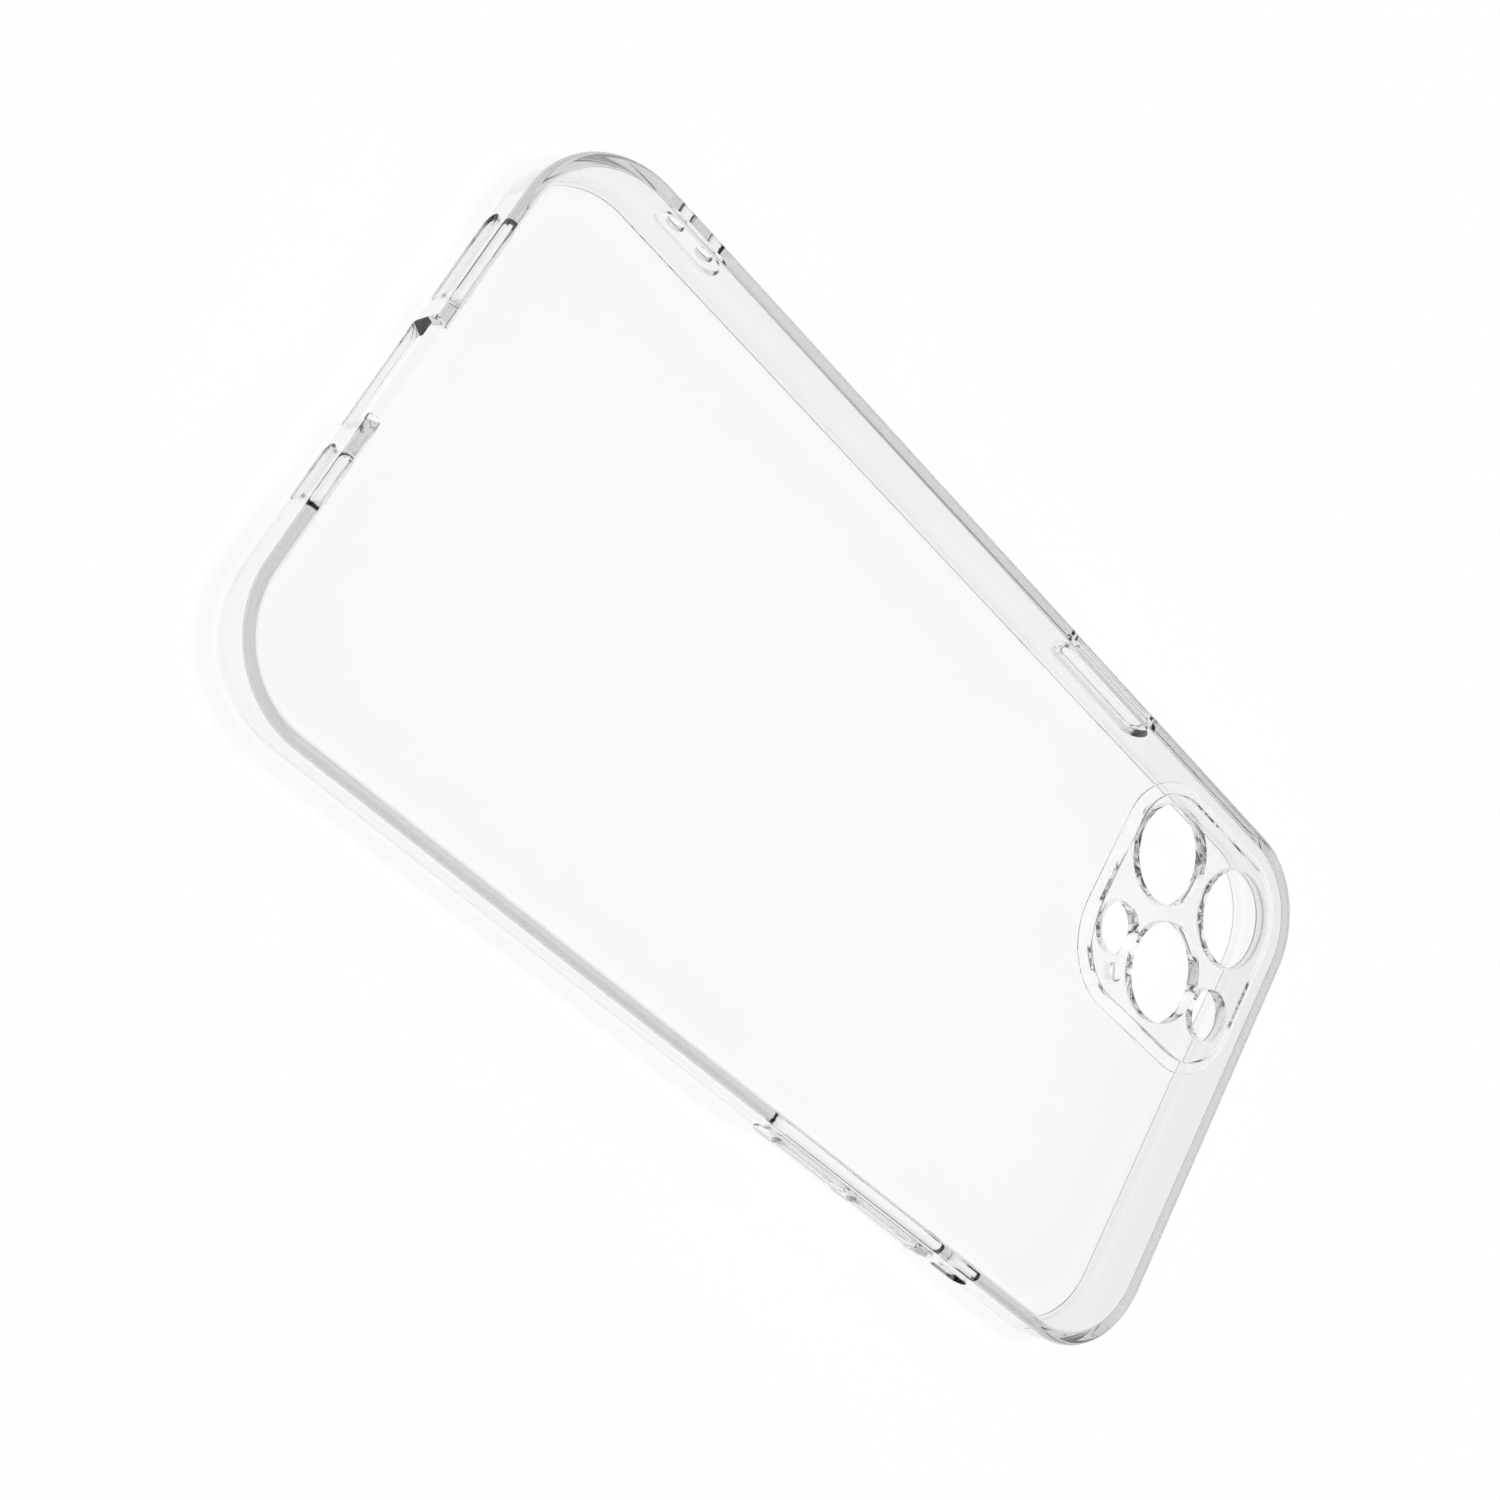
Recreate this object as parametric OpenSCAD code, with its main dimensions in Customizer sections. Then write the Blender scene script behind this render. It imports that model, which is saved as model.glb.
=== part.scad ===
// Clear case for a large phone, lying face down on its front rim.
// Origin: centre of the case at the front rim plane. +Z is out of the back,
// +Y is the camera end, +X is the volume-key side. Millimetres.

/* [Case] */
// overall width over the side walls
case_w = 81.5; // [78:0.5:86]
// overall length over the end walls
case_l = 163.1; // [158:0.5:172]
// depth from the front rim to the flat back
case_d = 9.6; // [9.2:0.1:11]
// corner radius seen from the back
corner_r = 14; // [12:0.5:15]
// side wall thickness
wall_t = 1.55; // [1.5:0.05:1.8]
// radius of the rounded front of the wall
front_r = 5; // [4.6:0.1:6]
// width of the flat front rim
rim_w = 0.28; // [0.2:0.02:0.4]
// how far the front opening stands in from the outer wall
lip_inset = 2.15; // [2.1:0.05:2.5]
// lip height in front of the screen
lip_h = 1.1; // [0.9:0.1:1.4]
// rounding of the back edge
back_edge_r = 0.8; // [0.4:0.1:0.9]

/* [Back panel] */
// back panel thickness
panel_t = 1.1; // [0.8:0.1:1.4]
// width of the wall left outside the panel
panel_inset = 1.0; // [0.95:0.05:1.2]

/* [Camera guard] */
// guard centre, sideways
guard_x = -19.05; // [-20:0.05:-18]
// guard centre, distance below the top end
guard_from_top = 22.95; // [22:0.05:26]
// guard width
guard_w = 32.5; // [31.5:0.1:34]
// guard length
guard_l = 33.6; // [33:0.1:35]
// guard corner radius
guard_r = 9; // [8:0.5:10]
// guard height above the flat back
guard_h = 1.2; // [0.9:0.1:1.6]
// thickness of the plate around the lenses
guard_plate_t = 1.7; // [1.4:0.1:1.9]
// rounding of the guard top edge
guard_edge_r = 0.7; // [0.4:0.1:0.8]
// width of the low foot around the guard
foot_w = 1.6; // [1:0.1:2]
// height of the low foot around the guard
foot_h = 0.35; // [0.2:0.05:0.5]
// radius of the three lens holes
lens_r = 7.2; // [6.8:0.1:7.4]
// radius of the flash and sensor holes
flash_r = 3.77; // [3.4:0.01:3.9]
// radius of the microphone hole
mic_r = 1.3; // [0.8:0.1:1.5]

/* [Keys] */
// height of the key centres above the rim plane
key_z = 5; // [4.8:0.1:5.2]
// half height of the soft web around the keys
web_r = 2.4; // [2.3:0.1:2.6]
// thickness of the soft web
web_t = 0.45; // [0.4:0.05:0.5]
// how far the web stands out of the wall
web_raise = 0.15; // [0.1:0.05:0.2]
// how far a key stands out of the wall
key_out = 0.5; // [0.4:0.05:0.7]
// half height of a key
key_r = 1.5; // [1.4:0.1:1.6]
// rounding of the key's outer edge
key_edge_r = 0.45; // [0.3:0.05:0.45]
// gap around a key in its web
key_gap = 0.3; // [0.25:0.05:0.35]
// power key centre along the side
power_y = 28.8; // [26:0.1:32]
// power key web length
power_web_l = 21.7; // [20:0.1:23]
// volume key web centre along the side
volume_y = 28.9; // [26:0.1:32]
// volume key web length
volume_web_l = 35.2; // [34.8:0.1:36]
// distance between the two volume key centres
volume_pitch = 15.1; // [14.9:0.1:15.4]
// volume key length
volume_key_l = 13.5; // [12:0.1:13.7]

/* [Side openings] */
// charging port opening width
port_w = 13.7; // [12:0.1:15]
// front edge of the port opening
port_z = 2.2; // [2:0.1:3]
// slot centre height
slot_z = 4.8; // [4.6:0.1:5]
// slot half height
slot_r = 1.8; // [1.5:0.1:2]
// speaker slot length
speaker_l = 13.2; // [10:0.1:14]
// microphone slot length
micslot_l = 7.9; // [6:0.1:9]
// distance from the middle to the near end of both slots
slot_from_mid = 10.5; // [9.8:0.1:11]
// mute switch slot centre along the side
mute_y = 51.25; // [50.5:0.05:53]
// mute switch slot length
mute_l = 6.3; // [5:0.1:7]

/* [Lanyard] */
// lanyard centre along the side
lanyard_y = -60.7; // [-63:0.1:-58]
// distance between the two lanyard holes
lanyard_pitch = 5.2; // [4.8:0.1:5.6]
// lanyard hole radius
lanyard_r = 1.25; // [1:0.05:1.4]
// half height of the pocket behind the lanyard holes
lanyard_pocket_r = 2.1; // [1.9:0.1:2.3]
// wall left outside the lanyard pocket
lanyard_skin = 0.8; // [0.7:0.05:1]

/* [Hidden] */
$fn = 96;
eps = 0.02;
far = 4;
panel_z = case_d - panel_t;
front_z = sqrt(front_r * front_r - pow(front_r - lip_inset + rim_w, 2));
guard_y = case_l / 2 - guard_from_top;
guard_top = case_d + guard_h;
guard_rib = 1.2;
// lens layout, measured from the guard centre
lens_col_x = -7.15;
lens_side_x = 7.35;
lens_dy = 8.4;
flash_dy = 11.63;
mic_dx = 12.85;
mic_dy = -8.8;
// key parts, measured inward from the outer wall face
flange_r = key_r + 0.4;
flange_t = 0.4;
flange_gap = 0.25;
flange_at = web_t - web_raise + flange_gap;
power_key_l = power_web_l - 2 * (web_r - key_r) - 1.1;
volume_down_y = volume_y - volume_pitch / 2;
volume_up_y = volume_y + volume_pitch / 2;

// which node to draw

// rounded rectangle, centred
module plan(w, l, r) {
    square([w - 2 * r, l], center = true);
    square([w, l - 2 * r], center = true);
    for (sx = [-1, 1], sy = [-1, 1]) {
        translate([sx * (w / 2 - r), sy * (l / 2 - r)])
            circle(r);
    }
}

// pill outline along X, centred
module pill(l, r) {
    square([l - 2 * r, 2 * r], center = true);
    for (s = [-1, 1]) {
        translate([s * (l / 2 - r), 0])
            circle(r);
    }
}

// carries a section (x = 0 at the outer face, inward negative) round a plan
module around(w, l, r) {
    for (a = [0, 180]) {
        rotate([0, 0, a])
            translate([w / 2, l / 2 - r, 0])
                rotate([90, 0, 0])
                    linear_extrude(l - 2 * r)
                        children();
        rotate([0, 0, a + 90])
            translate([l / 2, w / 2 - r, 0])
                rotate([90, 0, 0])
                    linear_extrude(w - 2 * r)
                        children();
        rotate([0, 0, a])
            translate([w / 2 - r, l / 2 - r, 0])
                rotate_extrude(angle = 90)
                    translate([r, 0])
                        children();
        rotate([0, 0, a + 90])
            translate([l / 2 - r, w / 2 - r, 0])
                rotate_extrude(angle = 90)
                    translate([r, 0])
                        children();
    }
}

// frame section: rounded front, lip, wall and the seat of the panel
module wall_section() {
    difference() {
        translate([-lip_inset, 0])
            square([lip_inset, case_d]);
        translate([-lip_inset - eps, lip_h])
            square([lip_inset - wall_t + eps, case_d]);
        translate([-lip_inset - eps, panel_z])
            square([lip_inset - panel_inset + eps, case_d]);
        difference() {
            translate([-front_r, -eps])
                square([front_r + eps, front_z + eps]);
            translate([-front_r, front_z])
                circle(front_r);
            translate([-lip_inset - eps, 0])
                square([rim_w + eps, front_z]);
        }
        difference() {
            translate([-back_edge_r, case_d - back_edge_r])
                square(back_edge_r + eps);
            translate([-back_edge_r, case_d - back_edge_r])
                circle(back_edge_r);
        }
    }
}

// pill through a side wall; s = 1 for +X, from inset d0 to inset d1
module side_pill(s, y, z, l, r, d0, d1) {
    x0 = case_w / 2 - d1;
    translate([s > 0 ? x0 : -x0 - (d1 - d0), y, z])
        rotate([90, 0, 90])
            linear_extrude(d1 - d0)
                pill(l, r);
}

// pill through the port end wall
module end_pill(x, l) {
    translate([x, -case_l / 2 + far, slot_z])
        rotate([90, 0, 0])
            linear_extrude(2 * far)
                pill(l, slot_r);
}

module port_cut() {
    flare = 1;
    translate([0, -case_l / 2 + far, 0])
        rotate([90, 0, 0])
            linear_extrude(2 * far) {
                translate([-port_w / 2, port_z + flare])
                    square([port_w, panel_z - port_z - flare]);
                translate([0, port_z + flare])
                    pill(port_w, flare);
            }
}

module lanyard_cut() {
    side_pill(-1, lanyard_y, key_z + 0.3, 2 * lanyard_pocket_r + 6.5, lanyard_pocket_r, lanyard_skin, far);
    for (s = [-1, 1]) {
        translate([-case_w / 2, lanyard_y + s * lanyard_pitch / 2, key_z + 0.3])
            rotate([0, 90, 0])
                cylinder(r = lanyard_r, h = 2 * far, center = true);
    }
}

module bumper_frame() {
    color([0.95, 0.96, 0.97, 0.4])
        difference() {
            around(case_w, case_l, corner_r)
                wall_section();
            side_pill(-1, power_y, key_z, power_web_l, web_r, -far, far);
            side_pill(1, volume_y, key_z, volume_web_l, web_r, -far, far);
            side_pill(1, mute_y, slot_z, mute_l, slot_r, -far, far);
            lanyard_cut();
            port_cut();
            end_pill(-slot_from_mid - speaker_l / 2, speaker_l);
            end_pill(slot_from_mid + micslot_l / 2, micslot_l);
        }
}

module back_panel() {
    color([0.97, 0.98, 0.99, 0.35])
        translate([0, 0, panel_z])
            linear_extrude(panel_t)
                difference() {
                    plan(case_w - 2 * panel_inset, case_l - 2 * panel_inset, corner_r - panel_inset);
                    translate([guard_x, guard_y])
                        plan(guard_w + 2 * foot_w, guard_l + 2 * foot_w, guard_r + foot_w);
                }
}

// guard edge section: upright with a rounded top
module guard_edge() {
    top = guard_top - panel_z;
    difference() {
        translate([-guard_rib, 0])
            square([guard_rib, top]);
        difference() {
            translate([-guard_edge_r, top - guard_edge_r])
                square(guard_edge_r + eps);
            translate([-guard_edge_r, top - guard_edge_r])
                circle(guard_edge_r);
        }
    }
}

module guard_holes() {
    for (s = [-1, 1]) {
        translate([lens_col_x, s * lens_dy])
            circle(lens_r);
        translate([lens_side_x, s * flash_dy])
            circle(flash_r);
    }
    translate([lens_side_x, 0])
        circle(lens_r);
    translate([mic_dx, mic_dy])
        circle(mic_r);
}

module camera_guard() {
    color([0.96, 0.97, 0.98, 0.4])
        translate([guard_x, guard_y, panel_z]) {
            around(guard_w, guard_l, guard_r)
                guard_edge();
            translate([0, 0, guard_top - panel_z - guard_plate_t])
                linear_extrude(guard_plate_t)
                    difference() {
                        plan(guard_w - 2 * guard_rib, guard_l - 2 * guard_rib, guard_r - guard_rib);
                        guard_holes();
                    }
            linear_extrude(panel_t + foot_h)
                difference() {
                    plan(guard_w + 2 * foot_w, guard_l + 2 * foot_w, guard_r + foot_w);
                    plan(guard_w, guard_l, guard_r);
                }
        }
}

// hole for a key in its web
module key_hole(s, y, l) {
    side_pill(s, y, key_z, l + 2 * key_gap, key_r + key_gap, -far, far);
}

module power_key_web() {
    color([0.9, 0.92, 0.94, 0.4])
        difference() {
            side_pill(-1, power_y, key_z, power_web_l, web_r, -web_raise, web_t - web_raise);
            key_hole(-1, power_y, power_key_l);
        }
}

module volume_key_web() {
    color([0.9, 0.92, 0.94, 0.4])
        difference() {
            side_pill(1, volume_y, key_z, volume_web_l, web_r, -web_raise, web_t - web_raise);
            key_hole(1, volume_up_y, volume_key_l);
            key_hole(1, volume_down_y, volume_key_l);
        }
}

// half section of a key end: rounded cap, stem and the flange behind the web
module key_section() {
    cap_t = key_out + flange_at;
    difference() {
        square([key_r, cap_t]);
        difference() {
            translate([key_r - key_edge_r, cap_t - key_edge_r])
                square(key_edge_r + eps);
            translate([key_r - key_edge_r, cap_t - key_edge_r])
                circle(key_edge_r);
        }
    }
    translate([0, -flange_t])
        square([flange_r, flange_t]);
}

// key lying with its outer face up, along X, z = 0 at the front of the flange
module key_solid(l) {
    for (s = [0, 1]) {
        mirror([s, 0, 0])
            translate([l / 2 - key_r, 0, 0])
                rotate([0, 0, -90])
                    rotate_extrude(angle = 180)
                        key_section();
        mirror([0, s, 0])
            translate([-(l / 2 - key_r), 0, 0])
                rotate([90, 0, 90])
                    linear_extrude(l - 2 * key_r)
                        key_section();
    }
}

module side_key(s, y, l) {
    translate([s * (case_w / 2 - flange_at), y, key_z])
        rotate([0, 0, 90])
            rotate([s * 90, 0, 0])
                key_solid(l);
}

module power_key() {
    color([0.85, 0.88, 0.9, 0.5])
        side_key(-1, power_y, power_key_l);
}

module volume_up_key() {
    color([0.85, 0.88, 0.9, 0.5])
        side_key(1, volume_up_y, volume_key_l);
}

module volume_down_key() {
    color([0.85, 0.88, 0.9, 0.5])
        side_key(1, volume_down_y, volume_key_l);
}

back_panel();
camera_guard();
bumper_frame();
power_key_web();
power_key();
volume_key_web();
volume_up_key();
volume_down_key();
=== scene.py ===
import math

import bmesh
import bpy
from mathutils import Matrix, Vector


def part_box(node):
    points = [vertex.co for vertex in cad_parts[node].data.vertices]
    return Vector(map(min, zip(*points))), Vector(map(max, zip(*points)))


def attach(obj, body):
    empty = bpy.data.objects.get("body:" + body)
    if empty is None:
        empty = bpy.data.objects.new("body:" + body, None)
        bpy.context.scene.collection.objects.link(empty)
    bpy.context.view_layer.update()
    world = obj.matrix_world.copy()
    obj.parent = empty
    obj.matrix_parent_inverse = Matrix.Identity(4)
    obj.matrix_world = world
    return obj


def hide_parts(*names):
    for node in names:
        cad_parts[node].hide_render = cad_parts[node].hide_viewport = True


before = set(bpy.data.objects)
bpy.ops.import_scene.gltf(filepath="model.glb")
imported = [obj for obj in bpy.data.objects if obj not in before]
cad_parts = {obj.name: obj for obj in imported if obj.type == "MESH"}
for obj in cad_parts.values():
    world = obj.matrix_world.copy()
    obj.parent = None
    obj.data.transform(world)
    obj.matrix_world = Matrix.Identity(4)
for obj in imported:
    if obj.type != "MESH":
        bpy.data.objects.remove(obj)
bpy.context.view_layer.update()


# ---------------------------------------------------------------- camera
# A 50 mm lens above the volume side and the port end, rolled so that the case
# lies on the diagonal.
right = Vector((-0.4620, 0.6389, 0.6151))
up = Vector((-0.8095, -0.5871, 0.0019))
back = right.cross(up).normalized()
up = back.cross(right).normalized()
stand = Matrix((right.normalized(), up, back)).transposed().to_4x4()
stand.translation = Vector((0.09702, -0.14444, 0.20749))
lens = bpy.data.cameras.new("product_lens")
lens.lens = 50
lens.sensor_width = 36
lens.clip_start = 0.005
camera = bpy.data.objects.new("product_camera", lens)
bpy.context.collection.objects.link(camera)
camera.matrix_world = stand
bpy.context.scene.camera = camera


# ------------------------------------------------------ bumper and back
# A soft clear bumper moulded round a hard clear back panel. The two are bonded
# along the rim, so they are one polished skin here, with no seam to see.
mm = 0.001
low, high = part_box("bumper_frame")
case_w = high[0] - low[0]
case_l = high[1] - low[1]
case_d = high[2] - low[2]
side = case_w / 2
end = case_l / 2
corner_r = 14 * mm
corner_steps = 40
wall_t = 1.55 * mm
lip_inset = 2.15 * mm
lip_h = 1.1 * mm
lip_edge_r = 0.2 * mm
mouth_z = (-2 * mm, 3 * mm)
front_r = 5 * mm
front_z = 3.9 * mm
front_edge_r = 0.1 * mm
back_edge_r = 0.8 * mm
panel_z = case_d - 1.1 * mm
panel_edge_r = 0.4 * mm
# Two heights closer than this are the same.
hair = 1e-7


def in_edit(ob):
    """Opens a piece for editing, alone and with nothing picked."""
    bpy.ops.object.select_all(action="DESELECT")
    ob.select_set(True)
    bpy.context.view_layer.objects.active = ob
    bpy.ops.object.mode_set(mode="EDIT")
    bpy.ops.mesh.select_mode(type="EDGE")
    bpy.ops.mesh.select_all(action="DESELECT")


def pick_edges(ob, wanted):
    """Opens a piece with the edges picked whose two ends answer to wanted."""
    in_edit(ob)
    mesh = bmesh.from_edit_mesh(ob.data)
    for edge in mesh.edges:
        edge.select_set(wanted(edge.verts[0].co, edge.verts[1].co))
    bmesh.update_edit_mesh(ob.data)


def round_where(ob, wanted, radius, steps):
    """Rounds the wanted edges of a piece."""
    pick_edges(ob, wanted)
    bpy.ops.mesh.bevel(offset=radius, segments=steps, profile=0.5, affect="EDGES")
    bpy.ops.object.mode_set(mode="OBJECT")


def upright(a, b):
    """Wants the edges that stand along Z."""
    return (a - b).xy.length < hair


def level(z):
    """Wants the edges that lie at that height."""
    return lambda a, b: abs(a.z - z) < hair and abs(b.z - z) < hair


def block(name, centre, size):
    """A plain block, with its place and size in its mesh."""
    bpy.ops.object.select_all(action="DESELECT")
    bpy.ops.mesh.primitive_cube_add(size=1, location=centre)
    ob = bpy.context.object
    ob.name = name
    ob.scale = size
    bpy.ops.object.transform_apply(location=True, rotation=True, scale=True)
    return ob


def slab(name, size, centre, z, corner, steps):
    """A block from height z[0] to z[1] with rounded upright edges."""
    middle = (centre[0], centre[1], (z[0] + z[1]) / 2)
    ob = block(name, middle, (size[0], size[1], z[1] - z[0]))
    round_where(ob, upright, corner, steps)
    return ob


def outline_slab(name, inset, z):
    """A slab that follows the outline of the case, that far inside it."""
    size = (case_w - 2 * inset, case_l - 2 * inset)
    return slab(name, size, (0, 0), z, corner_r - inset, corner_steps)


def combine(ob, other, how):
    """Joins or cuts one solid with another, which is used up."""
    bpy.ops.object.select_all(action="DESELECT")
    ob.select_set(True)
    bpy.context.view_layer.objects.active = ob
    step = ob.modifiers.new(how.lower(), "BOOLEAN")
    step.operation = how
    step.solver = "EXACT"
    step.object = other
    bpy.ops.object.modifier_apply(modifier=step.name)
    bpy.data.objects.remove(other)


# The front edge's round starts below z = 0 and is cut off flat there.
shell = outline_slab("clear_shell", 0, (front_z - front_r, case_d))
round_where(shell, level(front_z - front_r), front_r, steps=20)
in_edit(shell)
bpy.ops.mesh.select_all(action="SELECT")
bpy.ops.mesh.bisect(plane_co=(0, 0, 0), plane_no=(0, 0, 1), clear_inner=True, use_fill=True)
bpy.ops.object.mode_set(mode="OBJECT")
round_where(shell, level(0), front_edge_r, steps=3)
round_where(shell, level(case_d), back_edge_r, steps=10)
hollow = outline_slab("hollow", wall_t, (lip_h, panel_z))
round_where(hollow, level(panel_z), panel_edge_r, steps=6)
round_where(hollow, level(lip_h), lip_edge_r, steps=4)
combine(shell, hollow, "DIFFERENCE")
combine(shell, outline_slab("mouth", lip_inset, mouth_z), "DIFFERENCE")


# ------------------------------------------------------------- key webs
# Thin flexible webs carry the keys: the wall stands proud round them and is
# thinned from inside, and each key has a slot of its own through the web.
keys = ("power_key", "volume_up_key", "volume_down_key")
key_z = 5 * mm
key_r = 1.5 * mm
key_gap = 0.3 * mm
flange_out = 0.4 * mm
web_r = 2.4 * mm
web_proud = 0.15 * mm
web_root = 1 * mm
web_t = 0.45 * mm
web_rim = 0.01 * mm
power_y, power_l = 28.8 * mm, 21.7 * mm
volume_y, volume_l = 28.9 * mm, 35.2 * mm
# A cutter starts this far outside the wall and ends this far behind its face.
reach_out = 2 * mm
reach_in = 4 * mm
turns = {
    "X": Matrix(((0, 0, 1), (1, 0, 0), (0, 1, 0))),
    "Y": Matrix(((1, 0, 0), (0, 0, 1), (0, 1, 0))),
}
# The corners of a pill stop just short of meeting in the middle of its end.
pill_corner = 0.9999
pill_steps = 24


def pill(name, axis, at, length, radius, reach, edge_at=None, edge_r=0):
    """A pill-shaped bar between two places along axis, one end's edge rounded if asked."""
    size = (length, 2 * radius)
    ob = slab(name, size, (0, 0), sorted(reach), radius * pill_corner, pill_steps)
    if edge_at is not None:
        round_where(ob, level(edge_at), edge_r, steps=8)
    turn = turns[axis]
    ob.data.transform(turn.to_4x4())
    if turn.determinant() < 0:
        ob.data.flip_normals()
    ob.data.transform(Matrix.Translation(Vector(at)))
    return ob


for s, y, length in [(-1, power_y, power_l), (1, volume_y, volume_l)]:
    outer = s * (side + web_proud)
    inner = outer - s * web_t
    at = (0, y, key_z)
    pad = pill("web", "X", at, length, web_r, (s * (side - web_root), outer))
    combine(shell, pad, "UNION")
    behind = (inner, s * (side - reach_in))
    pocket = pill("pocket", "X", at, length - 2 * web_rim, web_r - web_rim, behind)
    combine(shell, pocket, "DIFFERENCE")
for node in keys:
    k_low, k_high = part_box(node)
    s = 1 if k_low[0] > 0 else -1
    at = (0, (k_low[1] + k_high[1]) / 2, key_z)
    length = k_high[1] - k_low[1] - 2 * (flange_out - key_gap)
    through = (s * (side - reach_in), s * (side + reach_out))
    combine(shell, pill("gap", "X", at, length, key_r + key_gap, through), "DIFFERENCE")


# ------------------------------------------------------ openings and slots
# Moulded through the wall: the charging port between the speaker slot and the
# microphone slot, and the slot of the mute switch above the volume keys.
slot_r = 1.8 * mm
slot_z = 4.8 * mm
mute_y, mute_l = 51.25 * mm, 6.3 * mm
speaker_x, speaker_l = -17.1 * mm, 13.2 * mm
microphone_x, microphone_l = 14.45 * mm, 7.9 * mm
through = (side - reach_in, side + reach_out)
mute = pill("mute", "X", (0, mute_y, slot_z), mute_l, slot_r, through)
combine(shell, mute, "DIFFERENCE")
through = (-end - reach_out, -end + reach_in)
for x, length in [(speaker_x, speaker_l), (microphone_x, microphone_l)]:
    combine(shell, pill("slot", "Y", (x, 0, slot_z), length, slot_r, through), "DIFFERENCE")

# The port's side walls flare, and the panel's edge slopes where the port meets it.
port_w = 13.7 * mm
port_outer_w = 19.4 * mm
port_inner_w = 11.2 * mm
port_z = (2.2 * mm, panel_z)
port_r = 1 * mm
slope_in = 1.2 * mm
slope_z = (panel_z - 0.05 * mm, case_d + 0.15 * mm)


def box(name, x, y, z):
    """A plain block between its lowest and highest corners."""
    centre = [(a + b) / 2 for a, b in (x, y, z)]
    return block(name, centre, [b - a for a, b in (x, y, z)])


def shift_where(ob, wanted, **move):
    """Moves the wanted edges of a piece by a step, or widens them to a size."""
    pick_edges(ob, wanted)
    if "by" in move:
        bpy.ops.transform.translate(value=move["by"])
    else:
        bpy.ops.transform.resize(value=move["size"])
    bpy.ops.object.mode_set(mode="OBJECT")


def outside(a, b):
    """Wants the edges in front of the port end's outer face."""
    return a.y < -end and b.y < -end


def inside(a, b):
    """Wants the edges behind the port end's outer face."""
    return a.y > -end and b.y > -end


def port_bottom(a, b):
    """Wants the port's two lower edges that run through the wall."""
    return abs(a.y - b.y) > reach_in and max(a.z, b.z) < sum(port_z) / 2


def slope_foot(a, b):
    """Wants the lower edge of the slope's block behind the outer face."""
    return min(a.y, b.y) > -end and max(a.z, b.z) < panel_z


port_x = (-port_w / 2, port_w / 2)
port = box("port", port_x, (-end - reach_in, -end + reach_in), port_z)
shift_where(port, outside, size=(port_outer_w / port_w, 1, 1))
shift_where(port, inside, size=(port_inner_w / port_w, 1, 1))
round_where(port, port_bottom, port_r, steps=8)
combine(shell, port, "DIFFERENCE")
slope = box("slope", port_x, (-end - reach_out, -end + slope_in), slope_z)
shift_where(slope, slope_foot, by=(0, -slope_in, 0))
combine(shell, slope, "DIFFERENCE")


# -------------------------------------------------------- lanyard corner
# A cord threads through two small round holes near the port end. A shallow
# pocket behind them leaves a thin skin of wall.
lanyard_y = -60.7 * mm
lanyard_z = 5.3 * mm
lanyard_pocket_l = 10.7 * mm
lanyard_pocket_r = 2.1 * mm
lanyard_skin_t = 0.8 * mm
cord_hole_r = 1.25 * mm
# A pill has to be a touch longer than it is wide.
cord_hole_l = 2.5002 * mm
cord_hole_y = 2.6 * mm
at = (0, lanyard_y, lanyard_z)
behind = (-side + lanyard_skin_t, -side + reach_in)
pocket = pill("pocket", "X", at, lanyard_pocket_l, lanyard_pocket_r, behind)
combine(shell, pocket, "DIFFERENCE")
through = (-side - reach_out, -side + reach_in)
for s in (-1, 1):
    at = (0, lanyard_y + s * cord_hole_y, lanyard_z)
    hole = pill("cord_hole", "X", at, cord_hole_l, cord_hole_r, through)
    combine(shell, hole, "DIFFERENCE")


# ------------------------------------- camera window and the shell's plastic
# The back panel has a window that the camera guard is bonded into. With it cut,
# the shell is done: polished clear plastic with fine handling haze. It absorbs a
# little light, so the back is clear and the long way down the wall looks grey.
g_low, g_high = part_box("camera_guard")
guard_at = ((g_low[0] + g_high[0]) / 2, (g_low[1] + g_high[1]) / 2)
foot_size = (g_high[0] - g_low[0], g_high[1] - g_low[1])
foot_w = 1.6 * mm
guard_r = 9 * mm
foot_r = guard_r + foot_w
guard_steps = 24
seat_gap = 0.02 * mm
past = 1 * mm
window_size = (foot_size[0] + 2 * seat_gap, foot_size[1] + 2 * seat_gap)
window_z = (panel_z - past, case_d + past)
window = slab("window", window_size, guard_at, window_z, foot_r, guard_steps)
combine(shell, window, "DIFFERENCE")

plastic_ior = 1.46
haze = 0.02
haze_scale = 60
tint_spread = 1.008
soft_turn = math.radians(32)
shell_pale = 0.992
shell_density = 78


class Value:
    """A node socket that writes a Math node when it is used in an expression."""

    def __init__(self, socket):
        self.socket = socket
        self.tree = socket.id_data

    @classmethod
    def node(cls, tree, kind, settings=None, sockets=None, out=0):
        """Adds a node: its settings first, then its sockets' values or links."""
        node = tree.nodes.new(kind)
        for name, value in (settings or {}).items():
            if name == "stops":
                ramp = node.color_ramp.elements
                while len(ramp) < len(value):
                    ramp.new(1)
                for stop, (place, shade) in zip(ramp, value):
                    stop.position = place
                    stop.color = (shade, shade, shade, 1)
            else:
                setattr(node, name, value)
        for name, value in (sockets or {}).items():
            if isinstance(value, Value):
                tree.links.new(value.socket, node.inputs[name])
            else:
                node.inputs[name].default_value = value
        return cls(node.outputs[out]) if node.outputs else None

    def __mul__(self, other):
        settings = {"operation": "MULTIPLY"}
        return Value.node(self.tree, "ShaderNodeMath", settings, {0: self, 1: other})

    __rmul__ = __mul__


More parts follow.
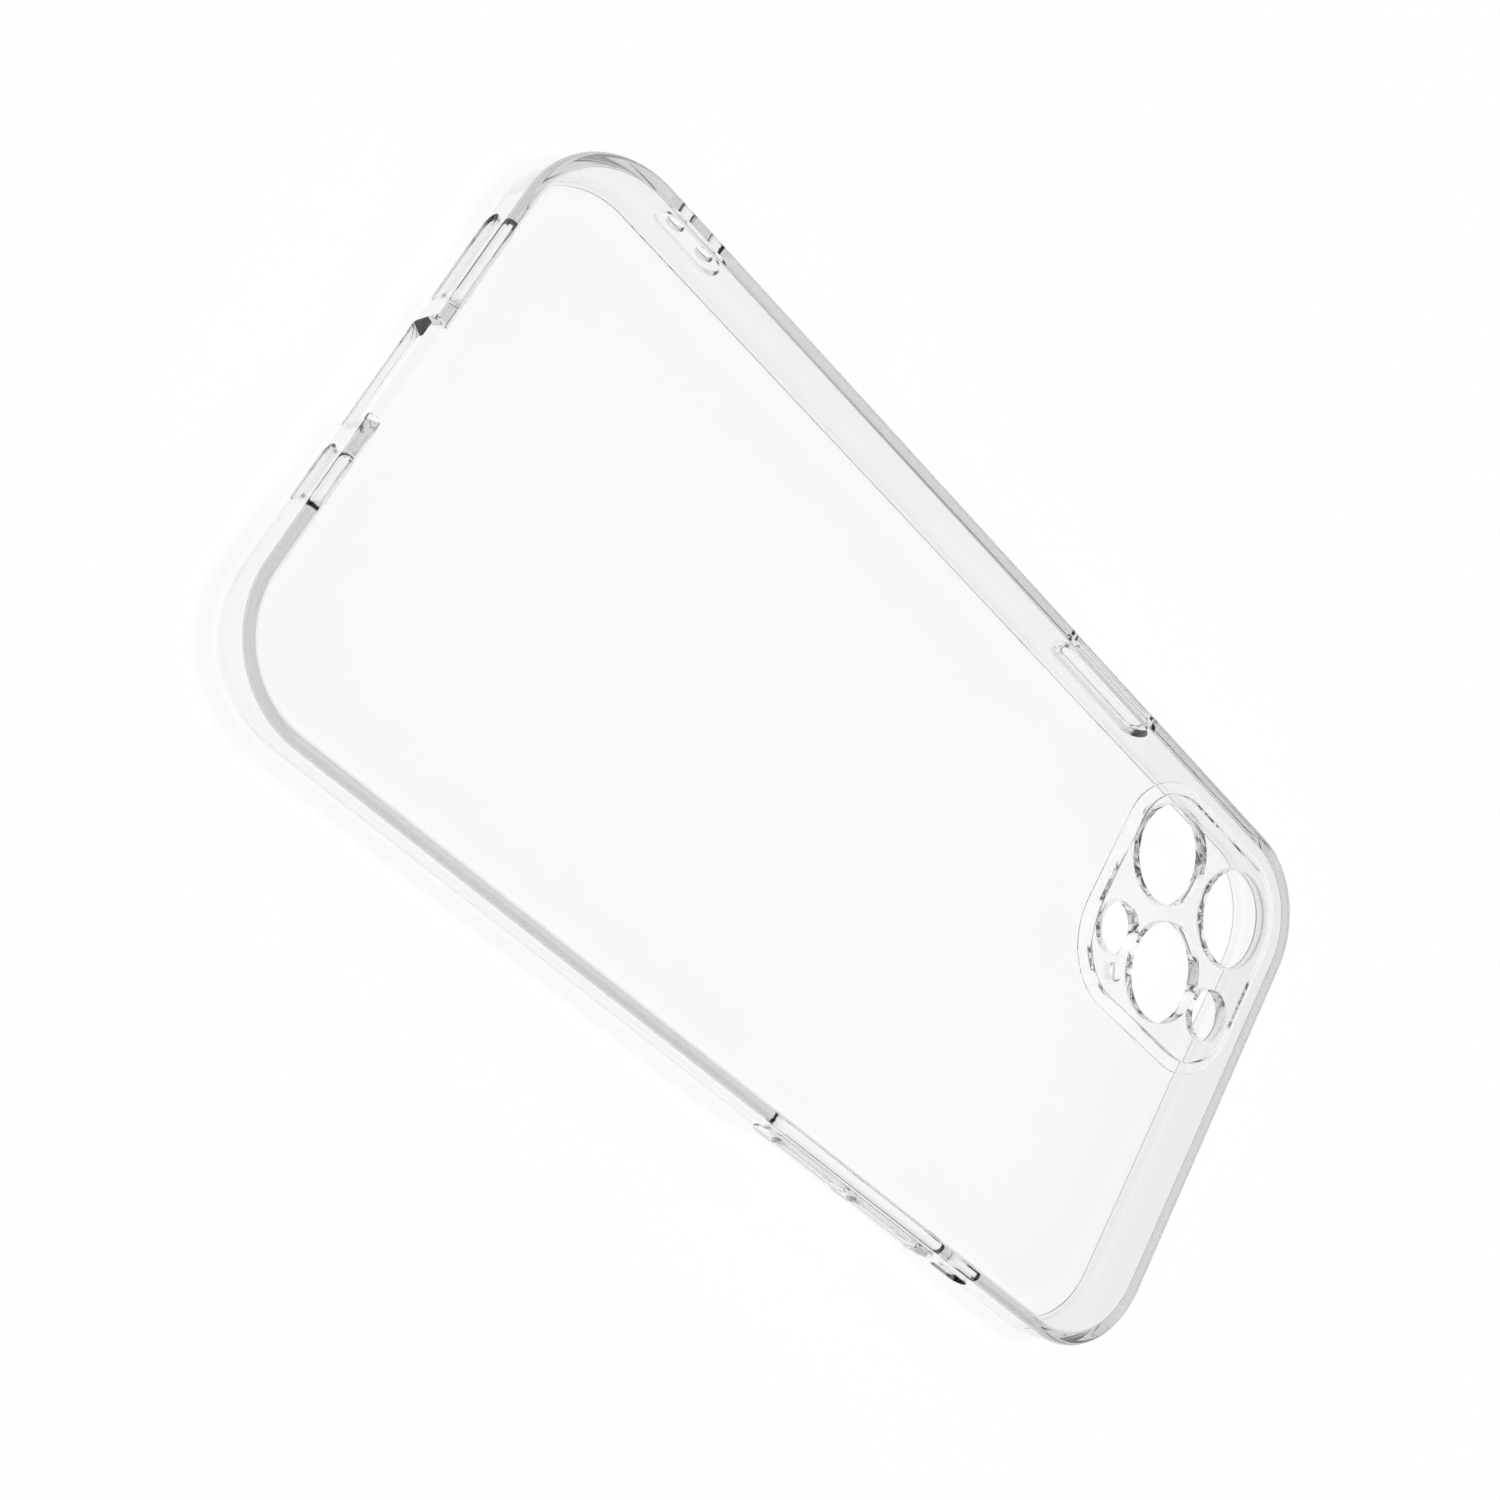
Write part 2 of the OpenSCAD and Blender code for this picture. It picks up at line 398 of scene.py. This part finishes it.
def clear_plastic(name, pale, density):
    """Clear plastic of a pale tint that absorbs light with depth, hazy in patches."""
    bright = pale * tint_spread
    mat = bpy.data.materials.new(name)
    mat.use_nodes = True
    tree = mat.node_tree
    tree.nodes.clear()
    place = Value.node(tree, "ShaderNodeTexCoord", out="Object")
    marks = Value.node(
        tree,
        "ShaderNodeTexNoise",
        {"normalize": True},
        {"Vector": place, "Scale": haze_scale, "Detail": 4},
    )
    tint = Value.node(
        tree,
        "ShaderNodeMix",
        {"data_type": "RGBA"},
        {"Factor": marks, "A": (pale, pale, pale, 1), "B": (bright, bright, bright, 1)},
        out="Result",
    )
    surface = Value.node(
        tree,
        "ShaderNodeBsdfPrincipled",
        {},
        {
            "Base Color": tint,
            "Roughness": haze * marks,
            "Transmission Weight": 1.0,
            "IOR": plastic_ior,
        },
    )
    depth = Value.node(
        tree,
        "ShaderNodeVolumeAbsorption",
        {},
        {"Color": (0.5, 0.5, 0.5, 1), "Density": density},
    )
    Value.node(tree, "ShaderNodeOutputMaterial", {}, {"Surface": surface, "Volume": depth})
    return mat


def polish(ob, plastic):
    """Gives a finished piece its smooth shading and its plastic."""
    bpy.ops.object.select_all(action="DESELECT")
    ob.select_set(True)
    bpy.context.view_layer.objects.active = ob
    bpy.ops.object.shade_smooth_by_angle(angle=soft_turn)
    even = ob.modifiers.new("even", "WEIGHTED_NORMAL")
    even.keep_sharp = True
    even.weight = 100
    bpy.ops.object.modifier_apply(modifier=even.name)
    ob.data.materials.clear()
    ob.data.materials.append(plastic)


polish(shell, clear_plastic("clear_hard_plastic", shell_pale, shell_density))
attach(shell, "case")
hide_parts("back_panel", "bumper_frame", "power_key_web", "volume_key_web")


# ---------------------------------------------------------- camera guard
# A raised plate of clear plastic with a hole for each lens, the flash, the sensor
# and the microphone. Its low foot is bonded into the back panel's window, and
# the holes widen a little towards the phone.
foot_top = case_d + 0.12 * mm
foot_edge_r = 0.1 * mm
guard_size = (foot_size[0] - 2 * foot_w, foot_size[1] - 2 * foot_w)
guard_pale = 0.992
guard_density = 45
plate_z = (case_d - 0.5 * mm, g_high[2])
plate_edge_r = 0.25 * mm
plate_taper = 0.35 * mm
lens_r = 7.2 * mm
flash_r = 3.77 * mm
microphone_r = 1.3 * mm
# Where each hole is from the middle of the guard, and its radius.
holes = {
    "lower_lens": (-7.15 * mm, -8.4 * mm, lens_r),
    "upper_lens": (-7.15 * mm, 8.4 * mm, lens_r),
    "side_lens": (7.35 * mm, 0, lens_r),
    "flash": (7.35 * mm, -11.63 * mm, flash_r),
    "sensor": (7.35 * mm, 11.63 * mm, flash_r),
    "microphone": (12.85 * mm, -8.8 * mm, microphone_r),
}
hole_draft = 0.3 * mm
drill_z = (panel_z - past, g_high[2] + past)
draft_z = (g_high[2] - 1.5 * mm, g_high[2] - 0.1 * mm)
relief_z = (panel_z - past, draft_z[0])
rod_sides = 96

guard = slab("clear_guard", foot_size, guard_at, (panel_z, foot_top), foot_r, guard_steps)
round_where(guard, level(foot_top), foot_edge_r, steps=4)
plate = slab("plate", guard_size, guard_at, plate_z, guard_r, guard_steps)
round_where(plate, level(plate_z[1]), plate_edge_r, steps=10)
taper = [1 - 2 * plate_taper / size for size in guard_size]
shift_where(plate, level(plate_z[0]), size=(taper[0], taper[1], 1))
combine(guard, plate, "UNION")


def rod(name, at, radii, z):
    """An upright round bar with its lower and upper radius."""
    bpy.ops.object.select_all(action="DESELECT")
    bpy.ops.mesh.primitive_cone_add(
        vertices=rod_sides,
        radius1=radii[0],
        radius2=radii[1],
        depth=z[1] - z[0],
        location=(at[0], at[1], (z[0] + z[1]) / 2),
    )
    ob = bpy.context.object
    ob.name = name
    bpy.ops.object.transform_apply(location=True, rotation=True, scale=True)
    return ob


for name, (dx, dy, r) in holes.items():
    at = (guard_at[0] + dx, guard_at[1] + dy)
    wide = r + hole_draft
    for radii, z in [((r, r), drill_z), ((wide, r), draft_z), ((wide, wide), relief_z)]:
        combine(guard, rod(name, at, radii, z), "DIFFERENCE")

polish(guard, clear_plastic("clear_guard_plastic", guard_pale, guard_density))
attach(guard, "case")
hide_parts("camera_guard")


# ------------------------------------------------------------------ keys
# Three sprung keys of the same clear plastic, each a rounded cap that slides
# in its web, with a wider flange behind the web that keeps it in.
key_edge_r = 0.45 * mm
flange_t = 0.4 * mm
key_pale = 0.99
key_density = 24
key_plastic = clear_plastic("clear_key_plastic", key_pale, key_density)
for node in keys:
    k_low, k_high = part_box(node)
    s = 1 if k_low[0] > 0 else -1
    outer, inner = (k_high[0], k_low[0]) if s > 0 else (k_low[0], k_high[0])
    at = (0, (k_low[1] + k_high[1]) / 2, key_z)
    length = k_high[1] - k_low[1]
    cap_l = length - 2 * flange_out
    key = pill("clear_" + node, "X", at, cap_l, key_r, (inner, outer), outer, key_edge_r)
    behind = (inner, inner + s * flange_t)
    flange = pill("flange", "X", at, length, key_r + flange_out, behind)
    combine(key, flange, "UNION")
    polish(key, key_plastic)
    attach(key, node)
    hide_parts(node)


# -------------------------------------------------------- floor and light
# A plain white table, lit a little from within, in a white studio. The light is
# white overhead and pale at the horizon, with a dark band between the two that
# draws the edges of clear plastic.
table_size = 40
table_shade = 0.5
table_roughness = 0.9
table_glow = 0.68
studio_glow = 0.9
studio_stops = [(0.18, 0.85), (0.3, 0.1), (0.55, 0.1), (0.7, 1)]
bpy.ops.object.select_all(action="DESELECT")
bpy.ops.mesh.primitive_plane_add(size=table_size, location=(0, 0, 0))
floor = bpy.context.object
floor.name = "floor"
white = bpy.data.materials.new("white_table")
white.use_nodes = True
table = white.node_tree.nodes["Principled BSDF"].inputs
table["Base Color"].default_value = (table_shade, table_shade, table_shade, 1)
table["Roughness"].default_value = table_roughness
table["Emission Color"].default_value = (1, 1, 1, 1)
table["Emission Strength"].default_value = table_glow
floor.data.materials.append(white)
world = bpy.data.worlds.new("studio")
bpy.context.scene.world = world
world.use_nodes = True
sky = world.node_tree
sky.nodes.clear()
toward = Value.node(sky, "ShaderNodeTexCoord", out="Generated")
height = Value.node(sky, "ShaderNodeSeparateXYZ", {}, {"Vector": toward}, out="Z")
shade = Value.node(sky, "ShaderNodeValToRGB", {"stops": studio_stops}, {0: height})
glow = Value.node(sky, "ShaderNodeBackground", {}, {"Color": shade, "Strength": studio_glow})
Value.node(sky, "ShaderNodeOutputWorld", {}, {"Surface": glow})
# Clear plastic needs plain colours, sharp reflections and many bounces, or the
# light that its walls guide goes black.
scene = bpy.context.scene
scene.view_settings.view_transform = "Standard"
scene.cycles.blur_glossy = 0
scene.cycles.max_bounces = 32
scene.cycles.glossy_bounces = 24
scene.cycles.transmission_bounces = 24
